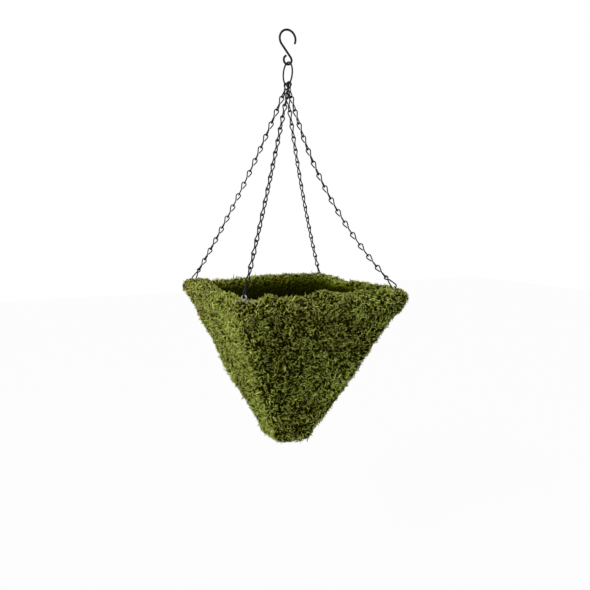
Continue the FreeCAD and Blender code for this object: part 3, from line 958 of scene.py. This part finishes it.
def ramp(nodes, stops):
    """A colour ramp with a stop at each place."""
    made = nodes.new("ShaderNodeValToRGB")
    while len(made.color_ramp.elements) < len(stops):
        made.color_ramp.elements.new(0.5)
    for element, (place, colour) in zip(made.color_ramp.elements, stops):
        element.position = place
        element.color = (*colour, 1)
    return made


def noise_node(nodes, links, scale, detail=3.0):
    """Noise in the piece's own coordinates; scale is in cells per metre."""
    where = nodes.new("ShaderNodeTexCoord")
    made = nodes.new("ShaderNodeTexNoise")
    made.inputs["Scale"].default_value = scale
    made.inputs["Detail"].default_value = detail
    links.new(where.outputs["Object"], made.inputs["Vector"])
    return made


def bump(nodes, links, source, shader, strength, distance):
    """Relief that follows a source, on the shader's normal."""
    made = nodes.new("ShaderNodeBump")
    made.inputs["Strength"].default_value = strength
    made.inputs["Distance"].default_value = distance
    links.new(source, made.inputs["Height"])
    links.new(made.outputs["Normal"], shader.inputs["Normal"])


def moss_finish():
    """Dry brown to yellow-green by patch and frond, dark at a frond's root and pale at its tips: the dark
    partly painted shade among the fronds and the pale partly a painted sheen.
    """
    made, nodes, links, shader = finish_of("sheet_moss", (0.2, 0.22, 0.06), roughness=0.92, specular=0.0)
    tint, paleness_and_painted_shade = nodes.new("ShaderNodeAttribute"), nodes.new("ShaderNodeAttribute")
    tint.attribute_name, paleness_and_painted_shade.attribute_name = "frond_tint", "frond_paleness_and_painted_shade"
    body = ramp(nodes, BODY_COLOURS)
    links.new(tint.outputs["Fac"], body.inputs["Fac"])
    # Painted shade low among the fronds and a painted sheen on the palest tips, along with their own dark
    # roots and pale tips.
    shade = ramp(nodes, TIP_PALENESS_PAINTED_SHADE_AND_SHEEN)
    shift = nodes.new("ShaderNodeMapRange")
    shift.inputs["From Min"].default_value = FIRST_SHADE_TIP
    links.new(paleness_and_painted_shade.outputs["Fac"], shift.inputs["Value"])
    links.new(shift.outputs["Result"], shade.inputs["Fac"])
    product = nodes.new("ShaderNodeMix")
    product.data_type, product.blend_type = "RGBA", "MULTIPLY"
    product.inputs["Factor"].default_value = 1.0
    links.new(body.outputs["Color"], product.inputs["A"])
    links.new(shade.outputs["Color"], product.inputs["B"])
    links.new(product.outputs["Result"], shader.inputs["Base Color"])
    grain = noise_node(nodes, links, scale=1400.0)
    bump(nodes, links, grain.outputs["Fac"], shader, strength=0.5, distance=0.4 * MM)
    return made


def wire_finish(name, dark, worn, metallic, roughness, specular):
    """Wire with a finish that is patchy and rubbed through in places."""
    made, nodes, links, shader = finish_of(name, dark, roughness, metallic, specular)
    patch = noise_node(nodes, links, scale=260.0, detail=5.0)
    colour = ramp(nodes, list(zip(PATCH_STOPS, (dark, worn))))
    links.new(patch.outputs["Fac"], colour.inputs["Fac"])
    links.new(colour.outputs["Color"], shader.inputs["Base Color"])
    rough = nodes.new("ShaderNodeMapRange")
    rough.inputs["To Min"].default_value = roughness - SMOOTHER
    rough.inputs["To Max"].default_value = roughness + ROUGHER
    links.new(patch.outputs["Fac"], rough.inputs["Value"])
    links.new(rough.outputs["Result"], shader.inputs["Roughness"])
    bump(nodes, links, patch.outputs["Fac"], shader, strength=0.25, distance=0.2 * MM)
    return made


def plastic_finish():
    """Black film, creased and a little shiny."""
    black = (0.006, 0.007, 0.004)
    made, nodes, links, shader = finish_of("liner_plastic", black, roughness=0.7, specular=0.15)
    crease = noise_node(nodes, links, scale=45.0, detail=6.0)
    bump(nodes, links, crease.outputs["Fac"], shader, strength=0.6, distance=4.0 * MM)
    return made


# ---- Room --------------------------------------------------------------------------------------
def view_direction(azimuth, elevation):
    """From the object towards a viewer there."""
    a, e = math.radians(azimuth), math.radians(elevation)
    return Vector((math.sin(a) * math.cos(e), -math.cos(a) * math.cos(e), math.sin(e)))


def camera():
    """The camera, aimed at a point below the rim and to the right of the basket's axis."""
    back = view_direction(AZIMUTH, ELEVATION)
    right = Vector((math.cos(math.radians(AZIMUTH)), math.sin(math.radians(AZIMUTH)), 0))
    aim = right * AIM_RIGHT + Vector((0, 0, RIM_HEIGHT - AIM_BELOW_RIM))
    data = bpy.data.cameras.new("camera")
    data.sensor_width, data.lens = SENSOR, LENS
    made = bpy.data.objects.new("camera", data)
    made.location = aim + back * DISTANCE
    made.rotation_euler = (-back).to_track_quat("-Z", "Y").to_euler()
    bpy.context.scene.collection.objects.link(made)
    bpy.context.scene.camera = made


def seen_directly(nodes, links):
    """1 for what the camera, a reflection or a clear material sees, otherwise 0."""
    path = nodes.new("ShaderNodeLightPath")
    first, second = nodes.new("ShaderNodeMath"), nodes.new("ShaderNodeMath")
    first.operation = second.operation = "MAXIMUM"
    links.new(path.outputs["Is Camera Ray"], first.inputs[0])
    links.new(path.outputs["Is Glossy Ray"], first.inputs[1])
    links.new(first.outputs[0], second.inputs[0])
    links.new(path.outputs["Is Transmission Ray"], second.inputs[1])
    return second.outputs[0]


def world(strength):
    """Even light from all round, and plain white where it is seen directly."""
    made = bpy.data.worlds.new("room")
    made.use_nodes = True
    bpy.context.scene.world = made
    nodes, links = made.node_tree.nodes, made.node_tree.links
    light, white = nodes["Background"], nodes.new("ShaderNodeBackground")
    light.inputs["Color"].default_value = (1, 1, 1, 1)
    light.inputs["Strength"].default_value = strength
    white.inputs["Color"].default_value = (1, 1, 1, 1)
    mix = nodes.new("ShaderNodeMixShader")
    links.new(seen_directly(nodes, links), mix.inputs["Fac"])
    links.new(light.outputs[0], mix.inputs[1])
    links.new(white.outputs[0], mix.inputs[2])
    links.new(mix.outputs[0], nodes["World Output"].inputs["Surface"])


def floor(height):
    """A pale floor that looks nearly white and keeps a little of the basket's shadow."""
    corners = np.array([(-1, -1, 0), (1, -1, 0), (1, 1, 0), (-1, 1, 0)]) * FLOOR_HALF + (0, 0, height)
    made = mesh_object("floor", corners, [np.array([[0, 1, 2, 3]])])
    finish, nodes, links, shader = finish_of("floor_white", (0.8, 0.8, 0.8), roughness=0.9)
    white = nodes.new("ShaderNodeEmission")
    mix, share = nodes.new("ShaderNodeMixShader"), nodes.new("ShaderNodeMath")
    share.operation = "MULTIPLY"
    share.inputs[1].default_value = FLOOR_WHITE
    links.new(seen_directly(nodes, links), share.inputs[0])
    links.new(share.outputs[0], mix.inputs["Fac"])
    links.new(shader.outputs[0], mix.inputs[1])
    links.new(white.outputs[0], mix.inputs[2])
    links.new(mix.outputs[0], nodes["Material Output"].inputs["Surface"])
    made.data.materials.append(finish)


def lamp(name, azimuth, elevation, distance, size, power):
    """A square lamp that faces the basket's rim."""
    data = bpy.data.lights.new(name, "AREA")
    data.size, data.energy = size, power
    made = bpy.data.objects.new(name, data)
    way = view_direction(azimuth, elevation)
    made.location = Vector((0, 0, RIM_HEIGHT)) + way * distance
    made.rotation_euler = (-way).to_track_quat("-Z", "Y").to_euler()
    bpy.context.scene.collection.objects.link(made)


# ---- The basket --------------------------------------------------------------------------------
MOSS = moss_finish()
CHAIN = wire_finish(
    "chain_steel",
    dark=(0.002, 0.002, 0.002),
    worn=(0.012, 0.012, 0.013),
    metallic=0.0,
    roughness=0.55,
    specular=0.18,
)
ZINC = wire_finish(
    "galvanised_wire",
    dark=(0.24, 0.24, 0.23),
    worn=(0.5, 0.5, 0.48),
    metallic=0.8,
    roughness=0.5,
    specular=0.5,
)

for corner in CORNERS:
    chain(corner)
hanger()
frame_wires()
liner = frame["nodes"]["liner"]
liner.data.materials.clear()
liner.data.materials.append(plastic_finish())

draws = np.random.default_rng(FROND_SEED)
KINDS = {}
for family, facts in FAMILIES.items():
    KINDS[family] = frond_kinds(facts["branches"], facts["stoutness"], draws)
for side, degrees in SIDES.items():
    patches = [(face_on(side), degrees, FACE_SEEN, EVEN)]
    moss_piece(f"mat_{side}", f"moss_face_{side}", face_mat(side), patches, 1.0, 1.0, draws)
    # The roll's fronds get painted shade deep inside the lip.
    patches = [(roll_on(side), degrees, ROLL_SEEN, LIP_PAINTED_SHADE)]
    moss_piece(f"rim_{side}", f"moss_roll_{side}", roll_mat(side), patches, ROLL_LUMP, ROLL_DENSER, draws)
patches = [(foot_on(side), degrees, FOOT_SEEN, EVEN) for side, degrees in SIDES.items()]
moss_piece("foot_pad", "moss_foot", foot_mat(), patches, 1.0, 1.0, draws)

camera()
world(strength=0.275)
floor(cad_low.z - FLOOR_BELOW)
lamp("key", azimuth=-60, elevation=32, distance=2.2, size=0.4, power=34.5)
bpy.context.scene.view_settings.view_transform = "Standard"
